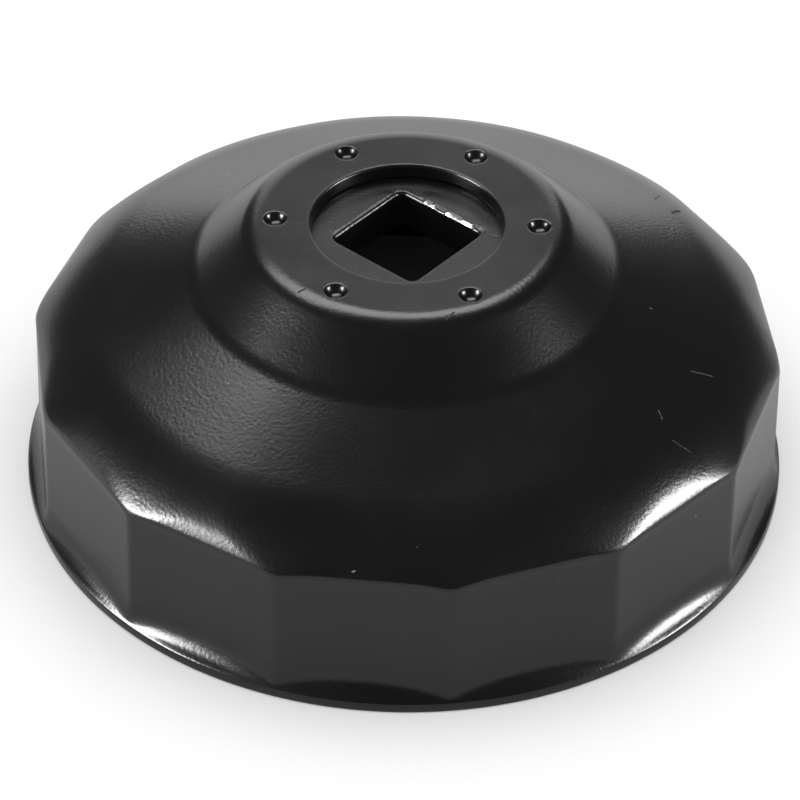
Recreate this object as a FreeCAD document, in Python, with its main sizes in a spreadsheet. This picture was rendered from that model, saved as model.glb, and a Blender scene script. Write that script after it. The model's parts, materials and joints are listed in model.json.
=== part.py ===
"""Cup oil filter wrench: a pressed steel cap with fourteen inside flats, driven through a square hole.

The cap is one pressed sheet: a flat crown with a round window, a sloping neck, a low dome, fourteen
flats round the skirt and a short flange at the mouth.  Under the crown a thick round plate carries the
square drive hole.  Six dimples in the crown are the back of its projection welds, and each holds one
weld nugget that joins the sheet to the plate.

Frame: +Z up out of the crown, origin at the centre of the mouth, on the plane that the mouth's flange
rests on.  X and Y are square to the sides of the drive hole.  Millimetres and degrees.
"""
import FreeCAD, Part
import math
import os
import Sketcher
from FreeCAD import Vector

DOC = FreeCAD.newDocument("cup_filter_wrench")

# ---------------------------------------------------------------- driving dimensions
DIMENSIONS = [
    ("overall_height", 36.45, "flange underside to crown face"),
    ("sheet_thickness", 2.0, "pressed sheet"),
    ("flange_radius", 47.25, "outside of the mouth's flange"),
    ("flange_thickness", 1.6, "flange at its trimmed edge"),
    ("flange_root_fillet", 1.5, "outside fillet from skirt to flange"),
    ("mouth_round", 3.0, "inside round where the skirt opens into the flange"),
    ("flat_count", 14, "flats round the skirt"),
    ("flat_turn", -4.1, "angle of the first flat's middle from +X"),
    ("flat_apothem", 45.1, "axis to a flat, outside, at the shoulder"),
    ("corner_reach", 46.1, "axis to a rounded corner, outside, at the shoulder"),
    ("skirt_draft", 1.0, "outward lean of the skirt"),
    ("shoulder_height", 18.35, "shoulder crease above the flange underside"),
    ("shoulder_slope", 48.5, "slope of the dome at the shoulder"),
    ("facet_slope", 60.0, "slope of each flat's short facet above the shoulder"),
    ("dome_radius", 26.0, "outside arc of the dome's section, down to the shoulder"),
    ("dome_cone_slope", 23.5, "slope of the dome's straight stretch, next to the neck"),
    ("valley_radius", 6.2, "outside fillet from neck to dome"),
    ("valley_centre", 29.5, "axis to the centre of that fillet"),
    ("crown_flat_radius", 17.3, "flat part of the crown"),
    ("crown_edge_round", 4.2, "outside round at the crown's edge"),
    ("window_radius", 11.65, "round window in the crown"),
    ("window_edge_round", 0.4, "rolled edge of the window"),
    ("weld_count", 6, "projection welds"),
    ("weld_turn", 38.6, "angle of the first weld from +X"),
    ("weld_circle_radius", 15.95, "axis to a weld"),
    ("dimple_radius", 1.35, "mouth of a weld dimple"),
    ("dimple_depth", 0.9, "depth of a weld dimple"),
    ("dimple_edge_round", 0.3, "rolled edge of a weld dimple"),
    ("nugget_radius", 1.3, "weld nugget in the joint's plane"),
    ("nugget_rise", 0.55, "nugget above and below the joint's plane"),
    ("plate_radius", 18.6, "drive plate"),
    ("plate_thickness", 5.0, "drive plate"),
    ("plate_top_chamfer", 1.5, "drive plate's upper rim, clear of the crown's inside round"),
    ("plate_bottom_round", 0.5, "drive plate's lower rim"),
    ("drive_square", 12.8, "square hole across its flats, for a 12.7 mm square"),
    ("square_corner_round", 0.9, "corners of the square hole"),
    ("square_edge_round", 0.5, "rolled upper edge of the square hole"),
]

SIZES = DOC.addObject("Spreadsheet::Sheet", "Sizes")
for row, (alias, value, meaning) in enumerate(DIMENSIONS, start=1):
    SIZES.set(f"A{row}", alias)
    SIZES.set(f"B{row}", str(value))
    SIZES.set(f"C{row}", meaning)
    SIZES.setAlias(f"B{row}", alias)
DOC.recompute()

ORIGIN = (-1, 1)            # the sketch's own origin point
V_AXIS = -2                 # the sketch's vertical axis
CAVITY_BELOW_MOUTH = 1.0    # how far the cavity's form runs past the mouth
LEAST_CUT = 0.001           # cubic mm a cutting feature must take away
LEVEL = 0.0001              # two edges closer than this lie at one height
SLACK = 0.001               # room allowed when an edge is looked up by its reach
TOUCH = 0.000001            # a point closer than this to a face counts as on it
FORM_OUTSIDE = 60.0         # a radius well outside the whole object
FLAT_CUT_HALF_WIDTH = 25.0  # longer than half a flat, shorter than the next one's reach


def size(alias):
    """The value of one driving dimension."""
    return float(SIZES.get(alias))


def sketch_on(body, name, role):
    """A new sketch flat on one of the body's own origin planes."""
    sketch = body.newObject("Sketcher::SketchObject", name)
    plane = [feature for feature in body.Origin.OriginFeatures if feature.Role == role][0]
    sketch.AttachmentSupport = (plane, [""])
    sketch.MapMode = "FlatFace"
    return sketch


def bind(sketch, kind, where, name, value, expression):
    """Adds a sizing constraint, names it and binds it to the sheet."""
    index = sketch.addConstraint(Sketcher.Constraint(kind, *where, value))
    sketch.renameConstraint(index, name)
    sketch.setExpression("Constraints." + name, expression)


def join(sketch, kind, *where):
    """Adds a constraint that has no size."""
    sketch.addConstraint(Sketcher.Constraint(kind, *where))


def line(sketch, start, end, construction=False):
    """Adds a straight line and returns its index."""
    return sketch.addGeometry(Part.LineSegment(Vector(*start, 0), Vector(*end, 0)), construction)


def arc(sketch, centre, radius, start_deg, end_deg):
    """Adds an arc, anticlockwise from start to end, and returns its index."""
    circle = Part.Circle(Vector(*centre, 0), Vector(0, 0, 1), radius)
    span = (math.radians(start_deg), math.radians(end_deg))
    return sketch.addGeometry(Part.ArcOfCircle(circle, *span), False)


def revolve(body, sketch, name, kind="PartDesign::Revolution", axis="V_Axis"):
    """A full turn of a sketch about one of its axes."""
    feature = body.newObject(kind, name)
    feature.Profile = sketch
    feature.ReferenceAxis = (sketch, [axis])
    feature.Angle = 360
    DOC.recompute()
    return feature


def around_z(body, feature, name, count_alias):
    """Repeats a feature evenly about the body's Z axis and makes the pattern the body's tip."""
    z_axis = [item for item in body.Origin.OriginFeatures if item.Role == "Z_Axis"][0]
    pattern = body.newObject("PartDesign::PolarPattern", name)
    pattern.Originals = [feature]
    pattern.Axis = (z_axis, [""])
    pattern.Angle = 360
    pattern.Occurrences = int(size(count_alias))
    pattern.setExpression("Occurrences", f"Sizes.{count_alias}")
    body.Tip = pattern
    DOC.recompute()
    return pattern


def cut_checked(body, feature, before):
    """Stops if a cutting feature took nothing away."""
    body.Tip = feature
    DOC.recompute()
    if body.Shape.Volume > before - LEAST_CUT:
        raise RuntimeError(f"{feature.Name} cut nothing")


# ---------------------------------------------------------------- the pressed section
def press_section(sketch, inset, base):
    """The section of the press form: crown, neck, valley, dome and skirt, inset inside the outside face.

    Every arc keeps its centre and changes its radius with the inset, so the outer and inner faces stay
    one sheet thickness apart.
    """
    sheet = inset * size("sheet_thickness")
    sheet_text = f"{inset}*Sizes.sheet_thickness"
    slope = math.radians(size("shoulder_slope"))
    draft = math.tan(math.radians(size("skirt_draft")))
    top = size("overall_height") - sheet
    edge = (size("crown_flat_radius"), size("overall_height") - size("crown_edge_round"))
    edge_r = size("crown_edge_round") - sheet
    dome = (
        size("corner_reach") - size("dome_radius") * math.sin(slope),
        size("shoulder_height") - size("dome_radius") * math.cos(slope),
    )
    dome_r = size("dome_radius") - sheet
    cone = math.radians(size("dome_cone_slope"))
    to_valley = size("dome_radius") + size("valley_radius")
    cone_run = (dome[0] + to_valley * math.sin(cone) - size("valley_centre")) / math.cos(cone)
    valley = (size("valley_centre"), dome[1] + to_valley * math.cos(cone) + cone_run * math.sin(cone))
    valley_r = size("valley_radius") + sheet
    cone_start = (valley[0] - valley_r * math.sin(cone), valley[1] - valley_r * math.cos(cone))
    cone_end = (dome[0] + dome_r * math.sin(cone), dome[1] + dome_r * math.cos(cone))
    gap = Vector(valley[0] - edge[0], valley[1] - edge[1], 0)
    neck = math.asin((edge_r + valley_r) / gap.Length) - math.atan2(gap.y, gap.x)
    neck_start = (edge[0] + edge_r * math.sin(neck), edge[1] + edge_r * math.cos(neck))
    neck_end = (valley[0] - valley_r * math.sin(neck), valley[1] - valley_r * math.cos(neck))
    reach = size("corner_reach") - sheet
    crease_lean = math.asin((reach - dome[0]) / dome_r)
    crease = (reach, dome[1] + dome_r * math.cos(crease_lean))
    foot = (size("corner_reach") + (size("shoulder_height") - base) * draft - sheet, base)

    axis = line(sketch, (0, base), (0, top))
    crown = line(sketch, (0, top), (edge[0], top))
    crown_edge = arc(sketch, edge, edge_r, 90 - math.degrees(neck), 90)
    neck_line = line(sketch, neck_start, neck_end)
    valley_arc = arc(sketch, valley, valley_r, 270 - math.degrees(neck), 270 - math.degrees(cone))
    cone_line = line(sketch, cone_start, cone_end)
    dome_arc = arc(sketch, dome, dome_r, 90 - math.degrees(crease_lean), 90 - math.degrees(cone))
    skirt = line(sketch, crease, foot)
    mouth = line(sketch, foot, (0, base))

    join(sketch, "Vertical", axis)
    join(sketch, "Horizontal", crown)
    join(sketch, "Horizontal", mouth)
    join(sketch, "Coincident", axis, 2, crown, 1)
    join(sketch, "Tangent", crown, 2, crown_edge, 2)
    join(sketch, "Tangent", crown_edge, 1, neck_line, 1)
    join(sketch, "Tangent", neck_line, 2, valley_arc, 1)
    join(sketch, "Tangent", valley_arc, 2, cone_line, 1)
    join(sketch, "Tangent", cone_line, 2, dome_arc, 2)
    join(sketch, "Coincident", dome_arc, 1, skirt, 1)
    join(sketch, "Coincident", skirt, 2, mouth, 1)
    join(sketch, "Coincident", mouth, 2, axis, 1)
    if base == 0:
        join(sketch, "Coincident", axis, 1, *ORIGIN)
    else:
        join(sketch, "PointOnObject", axis, 1, V_AXIS)
        bind(sketch, "DistanceY", (axis, 1, *ORIGIN), "below_mouth", -base, f"{-base}")
    bind(sketch, "DistanceY", (*ORIGIN, axis, 2), "crown_height", top, f"Sizes.overall_height - {sheet_text}")
    bind(sketch, "DistanceX", (crown, 1, crown, 2), "crown_flat", edge[0], "Sizes.crown_flat_radius")
    bind(sketch, "Radius", (crown_edge,), "edge_round", edge_r, f"Sizes.crown_edge_round - {sheet_text}")
    bind(sketch, "Radius", (valley_arc,), "valley_round", valley_r, f"Sizes.valley_radius + {sheet_text}")
    bind(sketch, "DistanceX", (*ORIGIN, valley_arc, 3), "valley_place", valley[0], "Sizes.valley_centre")
    bind(sketch, "Angle", (cone_line,), "cone_slope", -cone, "-Sizes.dome_cone_slope")
    bind(sketch, "Radius", (dome_arc,), "dome_round", dome_r, f"Sizes.dome_radius - {sheet_text}")
    bind(sketch, "DistanceX", (*ORIGIN, dome_arc, 3), "dome_across", dome[0],
         "Sizes.corner_reach - Sizes.dome_radius*sin(Sizes.shoulder_slope*1deg)")
    bind(sketch, "DistanceY", (dome_arc, 3, *ORIGIN), "dome_below", -dome[1],
         "Sizes.dome_radius*cos(Sizes.shoulder_slope*1deg) - Sizes.shoulder_height")
    reach_text = f"Sizes.corner_reach - {sheet_text}"
    bind(sketch, "DistanceX", (*ORIGIN, skirt, 1), "shoulder_reach", reach, reach_text)
    bind(sketch, "DistanceX", (*ORIGIN, skirt, 2), "foot_reach", foot[0],
         f"Sizes.corner_reach + (Sizes.shoulder_height + {-base})*tan(Sizes.skirt_draft*1deg) - {sheet_text}")


def flat_section(sketch, inset, base):
    """What a flat takes off the round form, seen along the flat: outside its skirt and shoulder lines."""
    sheet = inset * size("sheet_thickness")
    slope = math.radians(size("facet_slope"))
    draft = math.tan(math.radians(size("skirt_draft")))
    crease_z = size("shoulder_height") + sheet * (math.tan(slope) - 1 / math.cos(slope))
    crease_x = size("flat_apothem") - sheet
    foot_x = size("flat_apothem") + (size("shoulder_height") - base) * draft - sheet
    peak_x = size("valley_centre")
    peak_z = crease_z + (crease_x - peak_x) * math.tan(slope)

    skirt = line(sketch, (foot_x, base), (crease_x, crease_z))
    shoulder = line(sketch, (crease_x, crease_z), (peak_x, peak_z))
    roof = line(sketch, (peak_x, peak_z), (FORM_OUTSIDE, peak_z))
    outside = line(sketch, (FORM_OUTSIDE, peak_z), (FORM_OUTSIDE, base))
    floor = line(sketch, (FORM_OUTSIDE, base), (foot_x, base))
    chain = [skirt, shoulder, roof, outside, floor]
    for one, following in zip(chain, chain[1:] + chain[:1]):
        join(sketch, "Coincident", one, 2, following, 1)
    join(sketch, "Horizontal", roof)
    join(sketch, "Vertical", outside)
    join(sketch, "Horizontal", floor)
    apothem = f"Sizes.flat_apothem - {inset}*Sizes.sheet_thickness"
    crease = (f"(Sizes.shoulder_height + {inset}*Sizes.sheet_thickness*"
              "(tan(Sizes.facet_slope*1deg) - 1/cos(Sizes.facet_slope*1deg)))")
    bind(sketch, "DistanceX", (*ORIGIN, skirt, 2), "apothem", crease_x, apothem)
    bind(sketch, "DistanceY", (*ORIGIN, skirt, 2), "crease_height", crease_z, crease)
    bind(sketch, "DistanceX", (*ORIGIN, skirt, 1), "foot_apothem", foot_x,
         f"{apothem} + (Sizes.shoulder_height + {-base})*tan(Sizes.skirt_draft*1deg)")
    bind(sketch, "DistanceY", (skirt, 1, *ORIGIN), "foot_below", -base, f"{-base}")
    bind(sketch, "DistanceX", (*ORIGIN, shoulder, 2), "peak_reach", peak_x, "Sizes.valley_centre")
    bind(sketch, "DistanceY", (*ORIGIN, shoulder, 2), "peak_height", peak_z,
         f"{crease} + ({apothem} - Sizes.valley_centre)*tan(Sizes.facet_slope*1deg)")
    bind(sketch, "DistanceX", (*ORIGIN, outside, 1), "outside_reach", FORM_OUTSIDE, f"{FORM_OUTSIDE}")


def press_form(name, inset, base):
    """A body of the pressed shape: the round section turned, then its flats cut and repeated."""
    body = DOC.addObject("PartDesign::Body", name)
    section = sketch_on(body, name + "_section", "XZ_Plane")
    press_section(section, inset, base)
    revolve(body, section, name + "_turned")
    round_volume = body.Shape.Volume
    flat = sketch_on(body, name + "_flat_section", "XZ_Plane")
    flat_section(flat, inset, min(base, -CAVITY_BELOW_MOUTH))
    pocket = body.newObject("PartDesign::Pocket", name + "_flat")
    pocket.Profile = flat
    pocket.Midplane = True
    pocket.Length = 2 * FLAT_CUT_HALF_WIDTH
    cut_checked(body, pocket, round_volume)
    around_z(body, pocket, name + "_flats", "flat_count")
    return body


def flange_ring(body):
    """Adds the flange: a trimmed edge, a level ledge and the fillet up to the flats."""
    ring = sketch_on(body, "flange_section", "XZ_Plane")
    out, thick, fillet = size("flange_radius"), size("flange_thickness"), size("flange_root_fillet")
    inner, root = size("valley_centre"), size("flat_apothem")
    floor = line(ring, (inner, 0), (out, 0))
    edge = line(ring, (out, 0), (out, thick))
    ledge = line(ring, (out, thick), (root + fillet, thick))
    rise = arc(ring, (root + fillet, thick + fillet), fillet, 180, 270)
    roof = line(ring, (root, thick + fillet), (inner, thick + fillet))
    back = line(ring, (inner, thick + fillet), (inner, 0))
    join(ring, "Coincident", floor, 2, edge, 1)
    join(ring, "Coincident", edge, 2, ledge, 1)
    join(ring, "Tangent", ledge, 2, rise, 2)
    join(ring, "Coincident", rise, 1, roof, 1)
    join(ring, "Coincident", roof, 2, back, 1)
    join(ring, "Coincident", back, 2, floor, 1)
    join(ring, "Horizontal", floor)
    join(ring, "Vertical", edge)
    join(ring, "Horizontal", ledge)
    join(ring, "Horizontal", roof)
    join(ring, "Vertical", back)
    join(ring, "PointOnObject", floor, 1, -1)
    bind(ring, "DistanceX", (*ORIGIN, floor, 2), "flange_reach", out, "Sizes.flange_radius")
    bind(ring, "DistanceX", (*ORIGIN, back, 2), "ring_bore", inner, "Sizes.valley_centre")
    bind(ring, "DistanceY", (edge, 1, edge, 2), "edge_height", thick, "Sizes.flange_thickness")
    bind(ring, "Radius", (rise,), "root_fillet", fillet, "Sizes.flange_root_fillet")
    bind(ring, "DistanceX", (*ORIGIN, rise, 1), "root_reach", root, "Sizes.flat_apothem")
    bind(ring, "DistanceY", (*ORIGIN, roof, 1), "root_height", thick + fillet,
         "Sizes.flange_thickness + Sizes.flange_root_fillet")
    revolve(body, ring, "flange")


def window(body):
    """Pierces the crown's round window down into the cavity's room and rolls its upper edge."""
    before = body.Shape.Volume
    hole = sketch_on(body, "window_outline", "XY_Plane")
    hole.setExpression("AttachmentOffset.Base.z", "Sizes.overall_height")
    rim = hole.addGeometry(Part.Circle(Vector(0, 0, 0), Vector(0, 0, 1), size("window_radius")), False)
    join(hole, "Coincident", rim, 3, *ORIGIN)
    bind(hole, "Radius", (rim,), "window", size("window_radius"), "Sizes.window_radius")
    pierce = body.newObject("PartDesign::Pocket", "window")
    pierce.Profile = hole
    pierce.Length = 2 * size("sheet_thickness")
    pierce.setExpression("Length", "2*Sizes.sheet_thickness")
    cut_checked(body, pierce, before)
    before = body.Shape.Volume
    edges = round_edges_at(pierce.Shape, size("overall_height"), size("window_radius"))
    rolled = body.newObject("PartDesign::Fillet", "window_edge")
    rolled.Base = (pierce, edges)
    rolled.Radius = size("window_edge_round")
    rolled.setExpression("Radius", "Sizes.window_edge_round")
    cut_checked(body, rolled, before)


def round_edges_at(shape, height, radius):
    """Names of the circular edges of one radius that lie at one height."""
    names = []
    for index, edge in enumerate(shape.Edges, start=1):
        level = abs(edge.BoundBox.ZMax - height) < LEVEL and edge.BoundBox.ZLength < LEVEL
        if level and hasattr(edge.Curve, "Radius") and abs(edge.Curve.Radius - radius) < LEVEL:
            names.append(f"Edge{index}")
    return names


def dimples(body):
    """Presses the first weld dimple, part of a ball, rolls its edge, and repeats both round the crown."""
    before = body.Shape.Volume
    mouth, depth = size("dimple_radius"), size("dimple_depth")
    ball = (mouth * mouth + depth * depth) / (2 * depth)
    rise = ball - depth
    top = size("overall_height")
    dimple = sketch_on(body, "dimple_section", "XZ_Plane")
    to_weld = FreeCAD.Rotation(Vector(0, 1, 0), size("weld_turn") - size("flat_turn"))
    dimple.AttachmentOffset = FreeCAD.Placement(Vector(0, 0, 0), to_weld)
    dimple.setExpression("AttachmentOffset.Rotation.Angle", "(Sizes.weld_turn - Sizes.flat_turn)*1deg")
    place = "Sizes.weld_circle_radius"
    ball_text = "((Sizes.dimple_radius^2 + Sizes.dimple_depth^2)/(2*Sizes.dimple_depth))"
    at = size("weld_circle_radius")
    spin = line(dimple, (at, top + rise - ball), (at, top + rise + ball))
    bowl = arc(dimple, (at, top + rise), ball, -90, 90)
    join(dimple, "Coincident", spin, 1, bowl, 1)
    join(dimple, "Coincident", spin, 2, bowl, 2)
    join(dimple, "Vertical", spin)
    join(dimple, "PointOnObject", bowl, 3, spin)
    bind(dimple, "DistanceX", (*ORIGIN, bowl, 3), "weld_place", at, place)
    bind(dimple, "DistanceY", (*ORIGIN, bowl, 3), "ball_height", top + rise,
         f"Sizes.overall_height + {ball_text} - Sizes.dimple_depth")
    bind(dimple, "Radius", (bowl,), "ball", ball, ball_text)
    axis = line(dimple, (at, top), (at, top + ball), True)
    join(dimple, "PointOnObject", axis, 1, spin)
    join(dimple, "PointOnObject", axis, 2, spin)
    groove = revolve(body, dimple, "dimple", "PartDesign::Groove", "Axis0")
    cut_checked(body, groove, before)
    pattern = around_z(body, groove, "dimples", "weld_count")
    before = body.Shape.Volume
    edges = round_edges_at(pattern.Shape, top, mouth)
    rolled = body.newObject("PartDesign::Fillet", "dimple_edges")
    rolled.Base = (pattern, edges)
    rolled.Radius = size("dimple_edge_round")
    rolled.setExpression("Radius", "Sizes.dimple_edge_round")
    cut_checked(body, rolled, before)


def mouth_round_tool():
    """The body that opens the mouth: the ring outside a round from the skirt to the flange's underside."""
    body = DOC.addObject("PartDesign::Body", "mouth_round_form")
    ring = sketch_on(body, "mouth_section", "XZ_Plane")
    below = CAVITY_BELOW_MOUTH
    radius = size("mouth_round")
    inner = size("valley_centre")
    start = size("flat_apothem") - size("sheet_thickness")
    rise = arc(ring, (start + radius, radius), radius, 180, 270)
    lip = line(ring, (start + radius, 0), (start + radius, -below))
    floor = line(ring, (start + radius, -below), (inner, -below))
    back = line(ring, (inner, -below), (inner, radius))
    roof = line(ring, (inner, radius), (start, radius))
    chain = [
        (rise, 2, lip, 1), (lip, 2, floor, 1), (floor, 2, back, 1), (back, 2, roof, 1), (roof, 2, rise, 1),
    ]
    for link in chain:
        join(ring, "Coincident", *link)
    join(ring, "Vertical", lip)
    join(ring, "Horizontal", floor)
    join(ring, "Vertical", back)
    join(ring, "Horizontal", roof)
    bind(ring, "Radius", (rise,), "mouth_round", radius, "Sizes.mouth_round")
    bind(ring, "DistanceX", (*ORIGIN, rise, 3), "round_centre", start + radius,
         "Sizes.flat_apothem - Sizes.sheet_thickness + Sizes.mouth_round")
    bind(ring, "DistanceY", (*ORIGIN, rise, 3), "round_height", radius, "Sizes.mouth_round")
    bind(ring, "DistanceY", (*ORIGIN, rise, 1), "round_start", radius, "Sizes.mouth_round")
    bind(ring, "DistanceX", (*ORIGIN, back, 1), "ring_bore", inner, "Sizes.valley_centre")
    bind(ring, "DistanceY", (lip, 2, *ORIGIN), "below_mouth", below, f"{below}")
    bind(ring, "DistanceX", (*ORIGIN, rise, 2), "lip_reach", start + radius,
         "Sizes.flat_apothem - Sizes.sheet_thickness + Sizes.mouth_round")
    revolve(body, ring, "mouth_round_turned")
    return body


# ---------------------------------------------------------------- weld nuggets
def weld_nugget(number):
    """One lens of fused steel, half in the sheet and half in the plate, under its dimple."""
    body = DOC.addObject("PartDesign::Body", f"weld_nugget_{number}")
    body.Label = f"weld_nugget_{number}"
    lens = sketch_on(body, f"nugget_{number}_section", "XZ_Plane")
    radius, rise = size("nugget_radius"), size("nugget_rise")
    ball = (radius * radius + rise * rise) / (2 * rise)
    lean = math.degrees(math.asin(radius / ball))
    spin = line(lens, (0, -rise), (0, rise))
    upper = arc(lens, (0, rise - ball), ball, 90 - lean, 90)
    lower = arc(lens, (0, ball - rise), ball, 270, 270 + lean)
    join(lens, "Coincident", spin, 2, upper, 2)
    join(lens, "Coincident", spin, 1, lower, 1)
    join(lens, "Coincident", upper, 1, lower, 2)
    join(lens, "PointOnObject", spin, 1, V_AXIS)
    join(lens, "PointOnObject", spin, 2, V_AXIS)
    join(lens, "PointOnObject", upper, 3, V_AXIS)
    join(lens, "PointOnObject", lower, 3, V_AXIS)
    join(lens, "PointOnObject", upper, 1, -1)
    bind(lens, "DistanceX", (*ORIGIN, upper, 1), "nugget_reach", radius, "Sizes.nugget_radius")
    bind(lens, "DistanceY", (*ORIGIN, spin, 2), "rise_up", rise, "Sizes.nugget_rise")
    bind(lens, "DistanceY", (spin, 1, *ORIGIN), "rise_down", rise, "Sizes.nugget_rise")
    revolve(body, lens, f"nugget_{number}_lens")
    angle = f"(Sizes.weld_turn + {number - 1}*360/Sizes.weld_count)*1deg"
    body.setExpression("Placement.Base.x", f"Sizes.weld_circle_radius*cos({angle})")
    body.setExpression("Placement.Base.y", f"Sizes.weld_circle_radius*sin({angle})")
    body.setExpression("Placement.Base.z", "Sizes.overall_height - Sizes.sheet_thickness")
    DOC.recompute()
    return body


# ---------------------------------------------------------------- the drive plate
def plate_blank():
    """The thick disc under the crown: blanked round, pierced square, its upper rim chamfered."""
    body = DOC.addObject("PartDesign::Body", "drive_plate_blank")
    outline = sketch_on(body, "plate_outline", "XY_Plane")
    outline.setExpression("AttachmentOffset.Base.z", "Sizes.overall_height - Sizes.sheet_thickness")
    disc = outline.addGeometry(Part.Circle(Vector(0, 0, 0), Vector(0, 0, 1), size("plate_radius")), False)
    join(outline, "Coincident", disc, 3, *ORIGIN)
    bind(outline, "Radius", (disc,), "plate_reach", size("plate_radius"), "Sizes.plate_radius")
    pad = body.newObject("PartDesign::Pad", "plate_disc")
    pad.Profile = outline
    pad.Reversed = True
    pad.Length = size("plate_thickness")
    pad.setExpression("Length", "Sizes.plate_thickness")
    DOC.recompute()

    square = sketch_on(body, "square_outline", "XY_Plane")
    square.setExpression("AttachmentOffset.Base.z", "Sizes.overall_height - Sizes.sheet_thickness")
    half, corner = size("drive_square") / 2, size("square_corner_round")
    reach = half - corner
    sides, corners = [], []
    for quarter in range(4):
        turn = math.radians(90 * quarter)
        cos, sin = math.cos(turn), math.sin(turn)
        spots = ((half, -reach), (half, reach), (reach, reach))
        place = [(x * cos - y * sin, x * sin + y * cos) for x, y in spots]
        sides.append(line(square, place[0], place[1]))
        corners.append(arc(square, place[2], corner, 90 * quarter, 90 * quarter + 90))
    for quarter in range(4):
        join(square, "Tangent", sides[quarter], 2, corners[quarter], 1)
        join(square, "Tangent", corners[quarter], 2, sides[(quarter + 1) % 4], 1)
        join(square, "Vertical" if quarter % 2 == 0 else "Horizontal", sides[quarter])
    for quarter in range(1, 4):
        join(square, "Equal", corners[0], corners[quarter])
    join(square, "Equal", sides[0], sides[1])
    join(square, "Symmetric", sides[0], 1, sides[2], 1, *ORIGIN)
    bind(square, "Radius", (corners[0],), "corner_round", corner, "Sizes.square_corner_round")
    bind(square, "DistanceX", (sides[2], 1, sides[0], 1), "across_flats", 2 * half, "Sizes.drive_square")
    before = body.Shape.Volume
    pierce = body.newObject("PartDesign::Pocket", "square_hole")
    pierce.Profile = square
    pierce.Length = size("plate_thickness")
    pierce.setExpression("Length", "Sizes.plate_thickness")
    cut_checked(body, pierce, before)

    top = size("overall_height") - size("sheet_thickness")
    rim = round_edges_at(pierce.Shape, top, size("plate_radius"))
    chamfer = body.newObject("PartDesign::Chamfer", "plate_top_chamfer")
    chamfer.Base = (pierce, rim)
    chamfer.Size = size("plate_top_chamfer")
    chamfer.setExpression("Size", "Sizes.plate_top_chamfer")
    body.Tip = chamfer
    DOC.recompute()
    lower = body.newObject("PartDesign::Fillet", "plate_bottom_round")
    lower.Base = (chamfer, round_edges_at(chamfer.Shape, top - size("plate_thickness"), size("plate_radius")))
    lower.Radius = size("plate_bottom_round")
    lower.setExpression("Radius", "Sizes.plate_bottom_round")
    body.Tip = lower
    DOC.recompute()
    inside = []
    for index, edge in enumerate(lower.Shape.Edges, start=1):
        box = edge.BoundBox
        near_axis = max(abs(box.XMin), abs(box.XMax), abs(box.YMin), abs(box.YMax)) < half + SLACK
        if near_axis and abs(box.ZMin - top) < LEVEL and box.ZLength < LEVEL:
            inside.append(f"Edge{index}")
    rolled = body.newObject("PartDesign::Fillet", "square_edge")
    rolled.Base = (lower, inside)
    rolled.Radius = size("square_edge_round")
    rolled.setExpression("Radius", "Sizes.square_edge_round")
    body.Tip = rolled
    DOC.recompute()
    return body


# ---------------------------------------------------------------- assembly
def boolean(kind, name, base, tool):
    """A Part boolean of two objects."""
    feature = DOC.addObject(kind, name)
    feature.Base = base
    feature.Tool = tool
    DOC.recompute()
    return feature


outside = press_form("outside_form", 0, 0)
flange_ring(outside)
window(outside)
dimples(outside)
cavity = press_form("cavity_form", 1, -CAVITY_BELOW_MOUTH)
mouth = mouth_round_tool()
hollow = boolean("Part::Cut", "hollow_cup", outside, cavity)
opened = boolean("Part::Cut", "opened_cup", hollow, mouth)
opened.setExpression("Placement.Rotation.Angle", "Sizes.flat_turn*1deg")
opened.Placement = FreeCAD.Placement(Vector(0, 0, 0), Vector(0, 0, 1), size("flat_turn"))

nuggets = [weld_nugget(number) for number in range(1, int(size("weld_count")) + 1)]
nugget_group = DOC.addObject("Part::Compound", "nugget_group")
nugget_group.Links = nuggets

shell = boolean("Part::Cut", "cup_shell", opened, nugget_group)
shell.Label = "cup_shell"
plate = boolean("Part::Cut", "drive_plate", plate_blank(), nugget_group)
plate.Label = "drive_plate"

DOC.recompute()
for item in DOC.Objects:
    if "Invalid" in item.State or "Error" in item.State:
        raise RuntimeError(f"{item.Name} failed: {item.State}")

for nugget in nuggets:
    above = nugget.Shape.BoundBox.Center
    above.z = size("overall_height") - size("dimple_depth") / 2
    if shell.Shape.isInside(above, TOUCH, True):
        raise RuntimeError(f"{nugget.Label} has no dimple above it")

os.makedirs("parts", exist_ok=True)
for piece in [shell, plate] + nuggets:
    shape = piece.Shape
    if shape.isNull() or not shape.isValid():
        raise RuntimeError(f"{piece.Label} has no valid shape")
    shape.exportStep(f"parts/{piece.Label}.step")
    print(piece.Label, "solids", len(shape.Solids), "volume", round(shape.Volume, 2))
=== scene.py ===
"""Cup oil filter wrench: the looks of the pressed cap, its drive plate and its welds, and a white studio.

The cap and the drive plate are replaced by finer surfaces.  Each is one closed grid: rows run once round
the section of the metal, columns run once round the turning axis.  The weld nuggets keep their own meshes.
"""
import json
import math

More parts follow.
